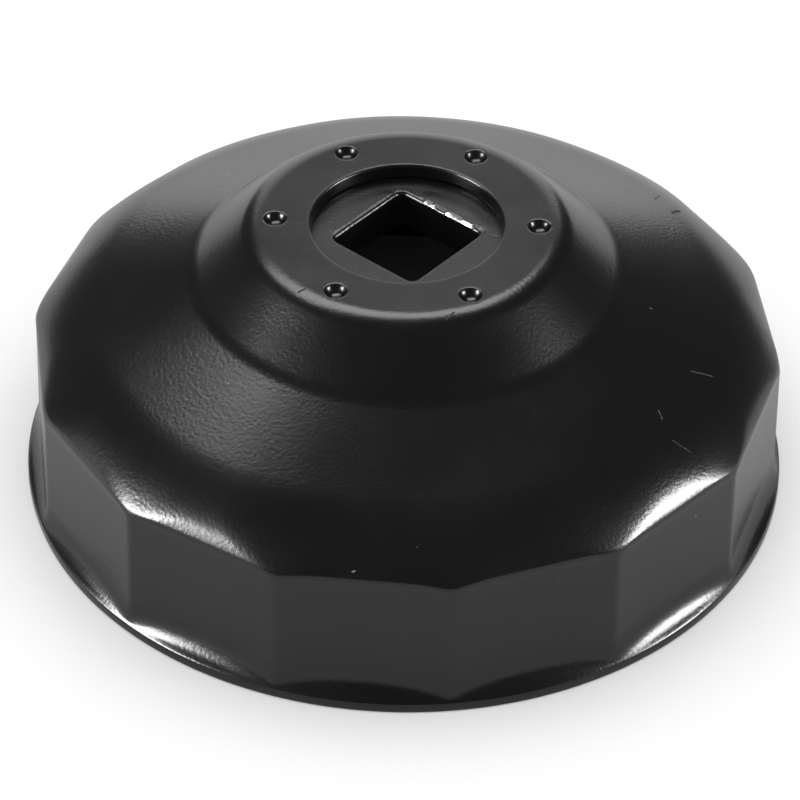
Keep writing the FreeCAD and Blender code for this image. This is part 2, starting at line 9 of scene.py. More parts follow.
import bpy
import numpy as np
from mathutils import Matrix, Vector

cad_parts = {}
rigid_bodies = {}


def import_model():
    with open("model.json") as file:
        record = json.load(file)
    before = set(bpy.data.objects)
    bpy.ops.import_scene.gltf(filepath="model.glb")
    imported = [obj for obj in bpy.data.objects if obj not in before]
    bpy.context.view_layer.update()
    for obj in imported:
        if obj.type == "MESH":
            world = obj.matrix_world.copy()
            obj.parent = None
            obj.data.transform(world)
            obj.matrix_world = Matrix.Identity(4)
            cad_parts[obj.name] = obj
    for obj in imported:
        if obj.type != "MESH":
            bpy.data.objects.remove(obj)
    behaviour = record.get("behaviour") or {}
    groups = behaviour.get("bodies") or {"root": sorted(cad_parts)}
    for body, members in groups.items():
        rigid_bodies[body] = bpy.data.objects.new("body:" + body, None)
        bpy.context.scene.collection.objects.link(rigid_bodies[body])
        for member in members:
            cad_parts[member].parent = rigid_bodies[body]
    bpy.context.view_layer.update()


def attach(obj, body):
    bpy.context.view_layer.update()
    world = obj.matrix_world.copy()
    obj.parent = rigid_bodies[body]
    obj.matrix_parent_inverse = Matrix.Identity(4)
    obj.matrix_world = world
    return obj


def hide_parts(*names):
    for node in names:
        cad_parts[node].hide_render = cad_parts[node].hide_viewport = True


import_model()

MM = 0.001

# ---------------------------------------------------------------- sizes, in millimetres and degrees
FLATS = 14
FLAT_TURN = -4.14           # middle of the first flat
APOTHEM = 45.1              # axis to a flat at the shoulder
CORNER_ROUND = 2.4          # outside round where two flats meet
SHEET = 2.0
TOP = 36.45
SHOULDER_Z = 18.35
SHOULDER_SLOPE = 48.5
DRAFT = math.tan(math.radians(1.0))
FLANGE_R = 47.25
WINDOW_R = 11.65
WELDS = 6
WELD_TURN = 38.6
WELD_R = 15.95
DIMPLE_R = 1.35
DIMPLE_DEPTH = 0.9
PLATE_R = 18.6
PLATE_THICK = 5.0
SQUARE_HALF = 6.4
SQUARE_CORNER = 0.9


# ---------------------------------------------------------------- grids
def smooth_step(x):
    """Rises from 0 to 1 between x = 0 and x = 1 with level ends."""
    x = np.clip(x, 0, 1)
    return x * x * (3 - 2 * x)


def bump(distance, width):
    """A bell of height 1 at distance 0."""
    return np.exp(-(distance / width) ** 2)


def lattice_noise(x, y, seed, cells):
    """Smooth value noise between -1 and 1 that repeats every cells units: random corners, eased between."""
    table = np.random.default_rng(seed).uniform(-1, 1, (cells, cells))
    xi, yi = np.floor(x).astype(int), np.floor(y).astype(int)
    fx, fy = smooth_step(x - xi), smooth_step(y - yi)
    x0, x1, y0, y1 = xi % cells, (xi + 1) % cells, yi % cells, (yi + 1) % cells
    low = table[x0, y0] * (1 - fx) + table[x1, y0] * fx
    high = table[x0, y1] * (1 - fx) + table[x1, y1] * fx
    return low * (1 - fy) + high * fy


def ring_mesh(name, points, masks):
    """A closed grid: rows wrap round the metal's section and columns wrap round the axis; masks colour its points."""
    rows, cols = points.shape[:2]
    index = np.arange(rows * cols).reshape(rows, cols)
    down, right = np.roll(index, -1, 0), np.roll(index, -1, 1)
    corner = np.roll(down, -1, 1)
    quads = np.stack([index, down, corner, right], -1).reshape(-1)
    mesh = bpy.data.meshes.new(name)
    mesh.vertices.add(rows * cols)
    mesh.vertices.foreach_set("co", (points.reshape(-1) * MM).astype(np.float32))
    mesh.loops.add(quads.size)
    mesh.loops.foreach_set("vertex_index", quads.astype(np.int32))
    mesh.polygons.add(rows * cols)
    mesh.polygons.foreach_set("loop_start", np.arange(0, quads.size, 4, dtype=np.int32))
    mesh.update(calc_edges=True)
    mesh.polygons.foreach_set("use_smooth", np.ones(rows * cols, dtype=bool))
    for mask, values in masks.items():
        layer = mesh.attributes.new(mask, "FLOAT", "POINT")
        layer.data.foreach_set("value", values.reshape(-1).astype(np.float32))
    mesh.update()
    piece = bpy.data.objects.new(name, mesh)
    bpy.context.scene.collection.objects.link(piece)
    return piece


def arc(centre, radius, start, end, count):
    """Points (r, z) on an arc of the section, angles in degrees from +r."""
    turn = np.radians(np.linspace(start, end, count))
    return np.stack([centre[0] + radius * np.cos(turn), centre[1] + radius * np.sin(turn)], -1)


def run(start, end, count):
    """Points (r, z) along a straight stretch, both ends left out."""
    share = np.linspace(0, 1, count + 2)[1:-1, None]
    return np.array(start) * (1 - share) + np.array(end) * share


# ---------------------------------------------------------------- the pressed cap
def flat_reach(apothem, corner, degrees):
    """Axis to a fourteen-sided outline with rounded corners: the flats at apothem, the corners round arcs."""
    half = math.pi / FLATS
    phi = np.abs((np.radians(degrees - FLAT_TURN) + half) % (2 * half) - half)
    centre = (apothem - corner) / math.cos(half)
    tangent = np.arctan((apothem - corner) * math.tan(half) / apothem)
    psi = half - phi
    on_arc = centre * np.cos(psi) + np.sqrt(np.maximum(corner ** 2 - (centre * np.sin(psi)) ** 2, 0))
    return np.where(phi < tangent, apothem / np.cos(phi), on_arc)


def shell_columns():
    """Angles of the columns, closer together over the welds and over the corners between flats."""
    fine = np.linspace(0, 360, 7201)
    weld = np.abs((fine - WELD_TURN + 180 / WELDS) % (360 / WELDS) - 180 / WELDS)
    corner = np.abs((fine - FLAT_TURN) % (360 / FLATS) - 180 / FLATS)
    density = 0.8 + 1.9 * (weld < 6.2) + 2.6 * bump(corner, 2.2)
    total = np.concatenate([[0], np.cumsum((density[1:] + density[:-1]) / 2 * np.diff(fine))])
    count = 540
    return np.interp(np.arange(count) * total[-1] / count, total, fine)


def shell_sections():
    """The cap's section, once round: window, crown, neck, dome, skirt, flange, and back up inside.

    Gives for each row its round radius, its height, how far the row has turned from round to fourteen
    flats, the apothem those flats have there, and their corner round.
    """
    half = math.pi / FLATS
    reach = (APOTHEM - CORNER_ROUND) / math.cos(half) + CORNER_ROUND
    edge_r, valley_r, dome_r, cone = 4.2, 6.2, 26.0, math.radians(23.5)
    slope = math.radians(SHOULDER_SLOPE)
    edge = (17.3, TOP - edge_r)
    dome = (reach - dome_r * math.sin(slope), SHOULDER_Z - dome_r * math.cos(slope))
    valley_x = 29.5
    back = (dome[0] + (dome_r + valley_r) * math.sin(cone) - valley_x) / math.cos(cone)
    valley = (valley_x, dome[1] + (dome_r + valley_r) * math.cos(cone) + back * math.sin(cone))
    gap = (valley[0] - edge[0], valley[1] - edge[1])
    neck = math.degrees(math.asin((edge_r + valley_r) / math.hypot(*gap)) - math.atan2(gap[1], gap[0]))
    lean = math.degrees(cone)
    crease = 2.0
    fade = 1.0
    cut = SHOULDER_SLOPE - crease * math.tan(math.radians(45 - SHOULDER_SLOPE / 2)) / math.radians(dome_r)
    outer = [
        arc((WINDOW_R + 0.32, TOP - 0.32), 0.32, 180, 90, 6),
        run((WINDOW_R + 0.32, TOP), (14.15, TOP), 4),
        run((14.15, TOP), (17.3, TOP), 24),
        arc(edge, edge_r, 90, 90 - neck, 14),
        run(arc(edge, edge_r, 90 - neck, 0, 1)[0], arc(valley, valley_r, 270 - neck, 0, 1)[0], 5),
        arc(valley, valley_r, 270 - neck, 270 - lean, 14),
        run(arc(valley, valley_r, 270 - lean, 0, 1)[0], arc(dome, dome_r, 90 - lean, 0, 1)[0], 6),
        arc(dome, dome_r, 90 - lean, 90 - cut, 26),
    ]
    outer = np.concatenate(outer)
    last = outer[-1]
    spin = math.radians(90 - cut)
    centre = (last[0] - crease * math.cos(spin), last[1] - crease * math.sin(spin))
    outer = np.concatenate([outer, arc(centre, crease, 90 - cut, 1.0, 9)[1:]])
    sunk = reach - APOTHEM
    level = np.maximum(outer[:, 1] - centre[1], 0) / fade
    gap = sunk * (1 + level) * np.exp(-level) * smooth_step((outer[:, 0] - 38) / 3)
    apothem = outer[:, 0] - gap
    swell = (apothem / math.cos(half) - outer[:, 0]) / (1 / math.cos(half) - 1)
    corner = np.clip(swell, CORNER_ROUND, apothem)
    top = np.stack([outer[:, 0], outer[:, 1], (outer[:, 0] > 38) * 1.0, apothem, corner], -1)

    heights = np.linspace(16.4, 5.3, 6)
    skirt = np.stack([
        np.full(6, FLANGE_R), heights, np.ones(6),
        APOTHEM + (SHOULDER_Z - heights) * DRAFT, np.full(6, CORNER_ROUND)], -1)
    last_turn = 1.05
    turn = np.linspace(0, last_turn, 14)
    foot = 5.1
    ledge = 1.5
    flare = np.stack([
        np.full(14, FLANGE_R - 0.2), foot - (foot - ledge) * np.sin(turn) / math.sin(last_turn),
        (np.cos(turn) - math.cos(last_turn)) / (1 - math.cos(last_turn)),
        np.full(14, APOTHEM + (SHOULDER_Z - foot) * DRAFT), np.full(14, CORNER_ROUND)], -1)
    lip = np.concatenate([
        arc((FLANGE_R - 0.35, ledge - 0.35), 0.35, 50, 0, 4),
        arc((FLANGE_R - 0.25, 0.25), 0.25, 0, -90, 4),
        run((FLANGE_R - 0.25, 0), (45.9, 0), 2),
    ])
    rim = np.stack([lip[:, 0], lip[:, 1], np.zeros(len(lip)), lip[:, 0], np.full(len(lip), CORNER_ROUND)], -1)

    inner_round = CORNER_ROUND - SHEET
    opening = 3.0
    turn = np.linspace(math.pi / 2, 0, 9)
    mouth = np.stack([
        np.full(9, 45.9), opening * (1 - np.sin(turn)), np.cos(turn),
        np.full(9, APOTHEM - SHEET + (SHOULDER_Z - opening) * DRAFT), np.full(9, inner_round)], -1)
    heights = np.linspace(5.0, 16.8, 4)
    inner_skirt = np.stack([
        np.full(4, FLANGE_R), heights, np.ones(4),
        APOTHEM - SHEET + (SHOULDER_Z - heights) * DRAFT, np.full(4, inner_round)], -1)
    inner = np.concatenate([
        arc(dome, dome_r - SHEET, 90 - SHOULDER_SLOPE + 2.5, 90 - lean, 12),
        arc(valley, valley_r + SHEET, 270 - lean, 270 - neck, 8)[1:],
        run(arc(valley, valley_r + SHEET, 270 - neck, 0, 1)[0], arc(edge, edge_r - SHEET, 90 - neck, 0, 1)[0], 2),
        arc(edge, edge_r - SHEET, 90 - neck, 90, 5),
        run((17.3, TOP - SHEET), (WINDOW_R, TOP - SHEET), 3),
        [[WINDOW_R, TOP - SHEET], [WINDOW_R, TOP - SHEET + 0.5], [WINDOW_R, TOP - 0.9]],
    ])
    blend = np.clip((inner[:, 0] - 36.0) / (43.9 - 36.0), 0, 1) ** 1.8
    ceiling = np.stack([
        inner[:, 0], inner[:, 1], blend, inner[:, 0] * (APOTHEM - SHEET) / 44.0, np.full(len(inner), 0.6)], -1)
    return np.concatenate([top, skirt, flare, rim, mouth, inner_skirt, ceiling]), len(top)


def dimple_drop(x, y):
    """How far the crown sinks at (x, y), and the way to the nearest weld: a cubic bowl with an eased lip."""
    angle = np.degrees(np.arctan2(y, x))
    off = np.radians((angle - WELD_TURN + 180 / WELDS) % (360 / WELDS) - 180 / WELDS)
    radius = np.hypot(x, y)
    away = np.sqrt(radius ** 2 + WELD_R ** 2 - 2 * radius * WELD_R * np.cos(off))
    bowl = -DIMPLE_DEPTH * (1 - (away / DIMPLE_R) ** 3)
    return (bowl - np.sqrt(bowl ** 2 + 4 * 0.07 ** 2)) / 2 * (away < 3.2), away


def make_shell():
    """The pressed cap: each row of the section carried round the axis, turning from round to flats."""
    section, outer_rows = shell_sections()
    columns = shell_columns()
    round_r, height, share, apothem, corner = [section[:, k:k + 1] for k in range(5)]
    reach = (1 - share) * round_r + share * flat_reach(apothem, corner, columns[None, :])
    turn = np.radians(columns)[None, :]
    x, y = reach * np.cos(turn), reach * np.sin(turn)
    z = height + np.zeros_like(x)
    crown = np.zeros_like(x)
    crown[:outer_rows] = 1
    drop, away = dimple_drop(x, y)
    z = z + drop * crown * (reach < 19.0)
    rim = bump(height - 0.8, 0.9) * (round_r > 46.5) + 0 * x
    window = bump(np.hypot(round_r - 12.0, height - TOP + 0.1), 0.35) * np.ones_like(x)
    shoulder = bump(np.hypot(reach - 45.9, height - 18.2), 0.7)
    masks = {
        "edge": np.clip(0.6 * rim + window + 0.7 * shoulder, 0, 1),
        "pit": crown * (reach < 19.0) * bump(away, 1.3),
    }
    return ring_mesh("cup_shell_skin", np.stack([x, y, z], -1), masks)


# ---------------------------------------------------------------- the drive plate
def square_walk(count_side, count_corner):
    """Points and outward directions once round the square hole: four straight sides and four round corners."""
    reach = SQUARE_HALF - SQUARE_CORNER
    side = np.linspace(-reach, reach, count_side, endpoint=False)
    quarter = np.radians(np.linspace(0, 90, count_corner, endpoint=False))
    x = np.concatenate([np.full(count_side, SQUARE_HALF), reach + SQUARE_CORNER * np.cos(quarter)])
    y = np.concatenate([side, reach + SQUARE_CORNER * np.sin(quarter)])
    nx = np.concatenate([np.ones(count_side), np.cos(quarter)])
    ny = np.concatenate([np.zeros(count_side), np.sin(quarter)])
    quarters = [(1, 0), (0, 1), (-1, 0), (0, -1)]
    points = np.concatenate([np.stack([x * cos - y * sin, x * sin + y * cos], -1) for cos, sin in quarters])
    normals = np.concatenate([np.stack([nx * cos - ny * sin, nx * sin + ny * cos], -1) for cos, sin in quarters])
    return points, normals


def make_plate():
    """The drive plate: a square hole carried out to a round rim, with the driver's wear raised on two edges."""
    hole, outward = square_walk(84, 10)
    top = TOP - SHEET
    bottom = top - PLATE_THICK
    roll = 0.5
    angle = np.arctan2(hole[:, 1], hole[:, 0])
    disc = np.stack([np.cos(angle), np.sin(angle)], -1)
    x0, y0 = hole[:, 0], hole[:, 1]

    thick = smooth_step((y0 - 6.1) / 0.25) * smooth_step((x0 + 4.4) / 1.6) * (1 - smooth_step((x0 - 5.2) / 0.9))
    thin = smooth_step((-x0 - 6.1) / 0.25) * (1 - smooth_step((np.abs(y0) - 4.9) / 0.8))
    back = smooth_step((y0 - 6.1) / 0.25) * (1 - smooth_step((x0 + 4.4) / 1.6))
    along = x0 + y0
    ragged = 0.55 + 0.45 * lattice_noise(along * 0.8, along * 0 + 3.5, 11, 64)
    fine = 0.6 + 0.4 * lattice_noise(along * 2.8, along * 0 + 7.5, 12, 64)
    burr = 0.8 * thick * smooth_step(ragged * 2.0 - 0.75) * fine + 0.3 * thin * ragged * fine + 0.12 * back * fine

    rows, bare = [], []

    def row(offset, height, burr_in=0.0, burr_up=0.0, shine=0.0):
        """One row a given way outside the hole, pushed inward and upward where there is a burr."""
        flat = hole + outward * (offset - burr_in * burr)[:, None]
        rows.append(np.concatenate([flat, (height + burr_up * burr)[:, None]], -1))
        bare.append(shine * np.clip(burr * 1.6, 0, 1))

    level = np.zeros(len(hole))
    for step in np.linspace(0, 1, 12):
        row(level, level + bottom + 0.3 + (PLATE_THICK - 1.1) * step, 0.05 * step)
    for turn, shine in zip(np.linspace(0, math.pi / 2, 9), (0.0, 0.0, 0.2, 0.6, 1, 1, 0.9, 0.5, 0.1)):
        lift = math.sin(turn)
        burr_in = 0.4 * lift * (1 - 0.5 * lift)
        row(level + roll * (1 - math.cos(turn)), level + top - roll + roll * lift, burr_in, 0.3 * lift, shine)
    swell = thick + 0.35 * thin
    for share in (0.04, 0.1, 0.17, 0.25, 0.34, 0.44, 0.55, 0.67, 0.8, 0.92):
        away = 2.2 * share
        lift = 0.15 * swell * (1 - smooth_step(np.array(share))) + 0.1 * burr * max(0, 1 - share / 0.12)
        row(level + roll + away, level + top + lift, shine=0.25 * (share < 0.05))
    ring = rows[-1][:, :2]
    for share in (0.2, 0.4, 0.6, 0.8, 1.0):
        rows.append(np.concatenate([ring * (1 - share) + disc * 14.0 * share, (level + top)[:, None]], -1))
        bare.append(level)
    for radius in (15.5, PLATE_R - 1.5):
        rows.append(np.concatenate([disc * radius, (level + top)[:, None]], -1))
        bare.append(level)
    for radius, height in (
        (PLATE_R - 1.45, top - 0.05), (PLATE_R - 0.05, top - 1.45), (PLATE_R, top - 1.6), (PLATE_R, bottom + 1.5),
        (PLATE_R, bottom + 0.5), (PLATE_R - 0.15, bottom + 0.15), (PLATE_R - 0.5, bottom), (14.0, bottom), (10.5, bottom),
    ):
        rows.append(np.concatenate([disc * radius, (level + height)[:, None]], -1))
        bare.append(level)
    row(level + 0.5, level + bottom)
    row(level + 0.12, level + bottom + 0.12)
    points = np.stack(rows)
    shine = np.stack(bare)
    return ring_mesh("drive_plate_skin", points, {"bare": shine, "edge": shine * 0, "pit": shine * 0})


# ---------------------------------------------------------------- material parts shared by several materials
def new_group(name, inputs, outputs):
    """A shader node group with named sockets; gives the tree and its two end nodes."""
    tree = bpy.data.node_groups.new(name, "ShaderNodeTree")
    for label, kind, value in inputs:
        socket = tree.interface.new_socket(name=label, in_out="INPUT", socket_type=kind)
        socket.default_value = value
    for label, kind in outputs:
        tree.interface.new_socket(name=label, in_out="OUTPUT", socket_type=kind)
    return tree, tree.nodes.new("NodeGroupInput"), tree.nodes.new("NodeGroupOutput")


def node(tree, kind, links=None, **settings):
    """A node with its settings made and its inputs linked or set; links maps an input to a socket or a value."""
    made = tree.nodes.new(kind)
    for key, value in settings.items():
        setattr(made, key, value)
    for key, value in (links or {}).items():
        if isinstance(value, bpy.types.NodeSocket):
            tree.links.new(value, made.inputs[key])
        else:
            made.inputs[key].default_value = value
    return made


def maths(tree, operation, first, second=0.0, clamp=False):
    """The output of one Math node."""
    made = node(tree, "ShaderNodeMath", {0: first, 1: second}, operation=operation)
    made.use_clamp = clamp
    return made.outputs[0]


def ramp(tree, value, low, high):
    """Value from 0 at low to 1 at high, eased."""
    made = node(tree, "ShaderNodeMapRange", {"Value": value, "From Min": low, "From Max": high})
    made.interpolation_type = "SMOOTHSTEP"
    return made.outputs["Result"]


def noise(tree, place, scale, detail=2.0, rough=0.5):
    """The value of one noise texture; scale is in repeats a metre."""
    links = {"Vector": place, "Scale": scale, "Detail": detail, "Roughness": rough}
    return node(tree, "ShaderNodeTexNoise", links).outputs["Fac"]


def make_orange_peel():
    """Paint's orange peel: soft cells with a finer grain on top, out as a height between 0 and 1."""
    tree, start, end = new_group(
        "orange_peel", [("Place", "NodeSocketVector", (0, 0, 0)), ("Cell size", "NodeSocketFloat", 0.0005)],
        [("Height", "NodeSocketFloat")])
    scale = maths(tree, "DIVIDE", 1.0, start.outputs["Cell size"])
    cells = noise(tree, start.outputs["Place"], scale, 1.0, 0.4)
    fine = noise(tree, start.outputs["Place"], maths(tree, "MULTIPLY", scale, 2.7), 1.0, 0.4)
    patch = noise(tree, start.outputs["Place"], maths(tree, "MULTIPLY", scale, 0.09), 2.0)
    both = maths(tree, "ADD", maths(tree, "MULTIPLY", cells, 0.75), maths(tree, "MULTIPLY", fine, 0.25))
    strength = maths(tree, "ADD", maths(tree, "MULTIPLY", ramp(tree, patch, 0.3, 0.7), 0.5), 0.6)
    centred = maths(tree, "MULTIPLY", maths(tree, "SUBTRACT", both, 0.5), strength)
    tree.links.new(maths(tree, "ADD", centred, 0.5), end.inputs["Height"])
    return tree


def make_dust():
    """Dust: sparse pale specks and a faint cloudy film, out as two masks."""
    tree, start, end = new_group(
        "dust", [("Place", "NodeSocketVector", (0, 0, 0)), ("Amount", "NodeSocketFloat", 0.5)],
        [("Specks", "NodeSocketFloat"), ("Film", "NodeSocketFloat")])
    cells = node(tree, "ShaderNodeTexVoronoi", {"Vector": start.outputs["Place"], "Scale": 420.0})
    spot = maths(tree, "SUBTRACT", 1.0, ramp(tree, cells.outputs["Distance"], 0.03, 0.08))
    pick = node(tree, "ShaderNodeSeparateColor", {0: cells.outputs["Color"]}).outputs[0]
    limit = maths(tree, "SUBTRACT", 1.0, maths(tree, "MULTIPLY", start.outputs["Amount"], 0.12))
    chosen = maths(tree, "GREATER_THAN", pick, limit)
    film = ramp(tree, noise(tree, start.outputs["Place"], 60.0, 4.0, 0.6), 0.4, 0.8)
    tree.links.new(maths(tree, "MULTIPLY", spot, chosen), end.inputs["Specks"])
    tree.links.new(maths(tree, "MULTIPLY", film, start.outputs["Amount"]), end.inputs["Film"])
    return tree


def make_scratches():
    """Short straight scratches: thin stretched cells kept only where a second noise is high."""
    tree, start, end = new_group(
        "scratches", [("Place", "NodeSocketVector", (0, 0, 0)), ("Turn", "NodeSocketFloat", 0.6),
                      ("Amount", "NodeSocketFloat", 0.5)], [("Mask", "NodeSocketFloat")])
    turned = node(tree, "ShaderNodeVectorRotate", {"Vector": start.outputs["Place"], "Angle": start.outputs["Turn"]},
                  rotation_type="Z_AXIS")
    longer = node(tree, "ShaderNodeVectorMath", {0: turned.outputs[0], 1: (1.0, 0.06, 1.0)}, operation="MULTIPLY")
    cells = node(tree, "ShaderNodeTexVoronoi", {"Vector": longer.outputs[0], "Scale": 900.0})
    pick = node(tree, "ShaderNodeSeparateColor", {0: cells.outputs["Color"]}).outputs[1]
    limit = maths(tree, "SUBTRACT", 1.0, maths(tree, "MULTIPLY", start.outputs["Amount"], 0.03))
    line = maths(tree, "SUBTRACT", 1.0, ramp(tree, cells.outputs["Distance"], 0.04, 0.12))
    tree.links.new(maths(tree, "MULTIPLY", line, maths(tree, "GREATER_THAN", pick, limit)), end.inputs["Mask"])
    return tree


def make_edge_wear():
    """Edge wear: an edge mask broken up by noise."""
    tree, start, end = new_group(
        "edge_wear", [("Place", "NodeSocketVector", (0, 0, 0)), ("Edge", "NodeSocketFloat", 0.0),
                      ("Amount", "NodeSocketFloat", 0.5)], [("Mask", "NodeSocketFloat")])
    broken = noise(tree, start.outputs["Place"], 1400.0, 3.0, 0.6)
    level = maths(tree, "MULTIPLY", start.outputs["Edge"], start.outputs["Amount"])
    worn = ramp(tree, maths(tree, "ADD", level, maths(tree, "SUBTRACT", broken, 0.5)), 0.35, 0.6)
    tree.links.new(maths(tree, "MULTIPLY", worn, ramp(tree, start.outputs["Edge"], 0.05, 0.3)), end.inputs["Mask"])
    return tree


def make_nick():
    """One nick: a thin straight mark between two places, ragged along its sides, out as a mask."""
    tree, start, end = new_group(
        "nick", [("Place", "NodeSocketVector", (0, 0, 0)), ("From", "NodeSocketVector", (0, 0, 0)),
                 ("To", "NodeSocketVector", (0, 0, 0)), ("Width", "NodeSocketFloat", 0.0001)],
        [("Mask", "NodeSocketFloat")])
    wander = node(tree, "ShaderNodeTexNoise", {"Vector": start.outputs["Place"], "Scale": 1500.0, "Detail": 3.0})
    off = node(tree, "ShaderNodeVectorMath", {0: wander.outputs["Color"], 1: (0.5, 0.5, 0.5)}, operation="SUBTRACT")
    off = node(tree, "ShaderNodeVectorMath", {0: off.outputs[0], "Scale": 0.0004}, operation="SCALE")
    place = node(tree, "ShaderNodeVectorMath", {0: start.outputs["Place"], 1: off.outputs[0]}, operation="ADD")
    whole = node(tree, "ShaderNodeVectorMath", {0: start.outputs["To"], 1: start.outputs["From"]}, operation="SUBTRACT")
    part = node(tree, "ShaderNodeVectorMath", {0: place.outputs[0], 1: start.outputs["From"]}, operation="SUBTRACT")
    over = node(tree, "ShaderNodeVectorMath", {0: part.outputs[0], 1: whole.outputs[0]}, operation="DOT_PRODUCT")
    length = node(tree, "ShaderNodeVectorMath", {0: whole.outputs[0], 1: whole.outputs[0]}, operation="DOT_PRODUCT")
    share = maths(tree, "DIVIDE", over.outputs["Value"], length.outputs["Value"], clamp=True)
    along = node(tree, "ShaderNodeVectorMath", {0: whole.outputs[0], "Scale": share}, operation="SCALE")
    away = node(tree, "ShaderNodeVectorMath", {0: part.outputs[0], 1: along.outputs[0]}, operation="DISTANCE")
    ratio = maths(tree, "DIVIDE", away.outputs["Value"], start.outputs["Width"])
    tree.links.new(maths(tree, "SUBTRACT", 1.0, ramp(tree, ratio, 0.5, 1.0)), end.inputs["Mask"])
    return tree


PEEL = make_orange_peel()
NICK = make_nick()
DUST = make_dust()
SCRATCHES = make_scratches()
EDGE_WEAR = make_edge_wear()


def use(tree, group, links):
    """One use of a shared group."""
    made = tree.nodes.new("ShaderNodeGroup")
    made.node_tree = group
    for key, value in links.items():
        if isinstance(value, bpy.types.NodeSocket):
            tree.links.new(value, made.inputs[key])
        else:
            made.inputs[key].default_value = value
    return made


def start_material(name):
    """A node material with its Principled shader and output in place."""
    material = bpy.data.materials.new(name)
    material.use_nodes = True
    tree = material.node_tree
    tree.nodes.clear()
    shader = tree.nodes.new("ShaderNodeBsdfPrincipled")
    output = tree.nodes.new("ShaderNodeOutputMaterial")
    tree.links.new(shader.outputs[0], output.inputs["Surface"])
    place = tree.nodes.new("ShaderNodeTexCoord").outputs["Object"]
    return material, tree, shader, place


def mix_colour(tree, share, first, second):
    """The output of a colour mix."""
    made = tree.nodes.new("ShaderNodeMix")
    made.data_type = "RGBA"
    for key, value in ((0, share), (6, first), (7, second)):
        if isinstance(value, bpy.types.NodeSocket):
            tree.links.new(value, made.inputs[key])
        else:
            made.inputs[key].default_value = value
    return made.outputs[2]


def nicks(tree, place, marks):
    """All of a piece's nicks of one kind as one mask; each mark is its two ends and its width in millimetres."""
    total = 0.0
    for start, end, width in marks:
        ends = {"From": [v * MM for v in start], "To": [v * MM for v in end]}
        one = use(tree, NICK, {"Place": place, "Width": width * MM, **ends})
        total = maths(tree, "MAXIMUM", total, one.outputs["Mask"])
    return total


DARK_NICKS = [
    ((15.3, -11.4, 35.8), (15.4, -9.7, 36.3), 0.16), ((44.9, -7.9, 17.5), (44.9, -6.6, 18.2), 0.14),
    ((10.8, 13.1, 36.4), (11.4, 14.7, 36.3), 0.13), ((-0.9, -18.6, 36.1), (-0.6, -17.9, 36.3), 0.15),
    ((1.5, -19.1, 35.8), (1.6, -18.2, 36.2), 0.15), ((10.2, 36.5, 24.5), (9.3, 38.9, 23.2), 0.22),
    ((13.5, 35.9, 24.4), (13.2, 37.7, 23.4), 0.3), ((-17.3, -2.4, 36.4), (-17.7, 0.6, 36.3), 0.06),
]
LIGHT_NICKS = [
    ((40.2, 1.6, 23.4), (42.2, 2.6, 22.0), 0.07), ((35.0, 11.6, 25.1), (36.8, 13.7, 23.9), 0.08),
    ((35.7, 3.6, 25.4), (37.9, 2.5, 24.6), 0.06), ((24.1, -37.4, 19.5), (24.5, -37.1, 19.5), 0.2),
    ((-9.9, -8.9, 36.4), (-9.5, -8.6, 36.4), 0.09), ((6.9, 6.6, 34.5), (8.5, 7.2, 34.5), 0.13),
    ((7.6, 7.4, 34.5), (8.9, 6.9, 34.5), 0.07),
]


def make_paint(name, roughness, peel_depth):
    """Black satin paint over steel: orange peel, dust, scratches, and bare metal where it is rubbed through."""
    material, tree, shader, place = start_material(name)
    edge = node(tree, "ShaderNodeAttribute", attribute_name="edge").outputs["Fac"]
    bare = node(tree, "ShaderNodeAttribute", attribute_name="bare").outputs["Fac"]
    peel = use(tree, PEEL, {"Place": place, "Cell size": 0.00046})
    dust = use(tree, DUST, {"Place": place, "Amount": 0.25})
    scratch = use(tree, SCRATCHES, {"Place": place, "Turn": 0.7, "Amount": 0.35})
    wear = use(tree, EDGE_WEAR, {"Place": place, "Edge": edge, "Amount": 0.2})
    tone = noise(tree, place, 90.0, 3.0)
    black = mix_colour(tree, tone, (0.003, 0.003, 0.0034, 1), (0.005, 0.0048, 0.005, 1))
    rubbed = mix_colour(tree, maths(tree, "MULTIPLY", wear.outputs["Mask"], 0.5), black, (0.06, 0.058, 0.056, 1))
    dusty = mix_colour(tree, maths(tree, "MULTIPLY", dust.outputs["Film"], 0.02), rubbed, (0.3, 0.28, 0.25, 1))
    specked = mix_colour(tree, maths(tree, "MULTIPLY", dust.outputs["Specks"], 0.35), dusty, (0.45, 0.42, 0.38, 1))
    scored = mix_colour(tree, maths(tree, "MULTIPLY", scratch.outputs["Mask"], 0.12), specked, (0.3, 0.3, 0.3, 1))
    dark = nicks(tree, place, DARK_NICKS)
    light = nicks(tree, place, LIGHT_NICKS)
    gouged = mix_colour(tree, maths(tree, "MULTIPLY", light, 0.25), scored, (0.28, 0.25, 0.21, 1))
    metal = ramp(tree, bare, 0.25, 0.5)
    colour = mix_colour(tree, metal, gouged, (0.82, 0.81, 0.79, 1))
    tree.links.new(colour, shader.inputs["Base Color"])
    tree.links.new(metal, shader.inputs["Metallic"])
    varied = maths(tree, "ADD", maths(tree, "MULTIPLY", maths(tree, "SUBTRACT", tone, 0.5), 0.06), roughness)
    filmed = maths(tree, "ADD", varied, maths(tree, "MULTIPLY", dust.outputs["Film"], 0.12))
    dulled = maths(tree, "ADD", filmed, maths(tree, "MULTIPLY", dark, 0.6))
    tree.links.new(maths(tree, "ADD", dulled, maths(tree, "MULTIPLY", metal, 0.05)), shader.inputs["Roughness"])
    shader.inputs["IOR"].default_value = 1.5
    cut = maths(tree, "MULTIPLY", maths(tree, "MAXIMUM", dark, light), 4.0)
    height = maths(tree, "SUBTRACT", peel.outputs["Height"], cut)
    bumped = node(tree, "ShaderNodeBump", {"Height": height, "Distance": peel_depth, "Strength": 1.0})
    tree.links.new(bumped.outputs[0], shader.inputs["Normal"])
    return material


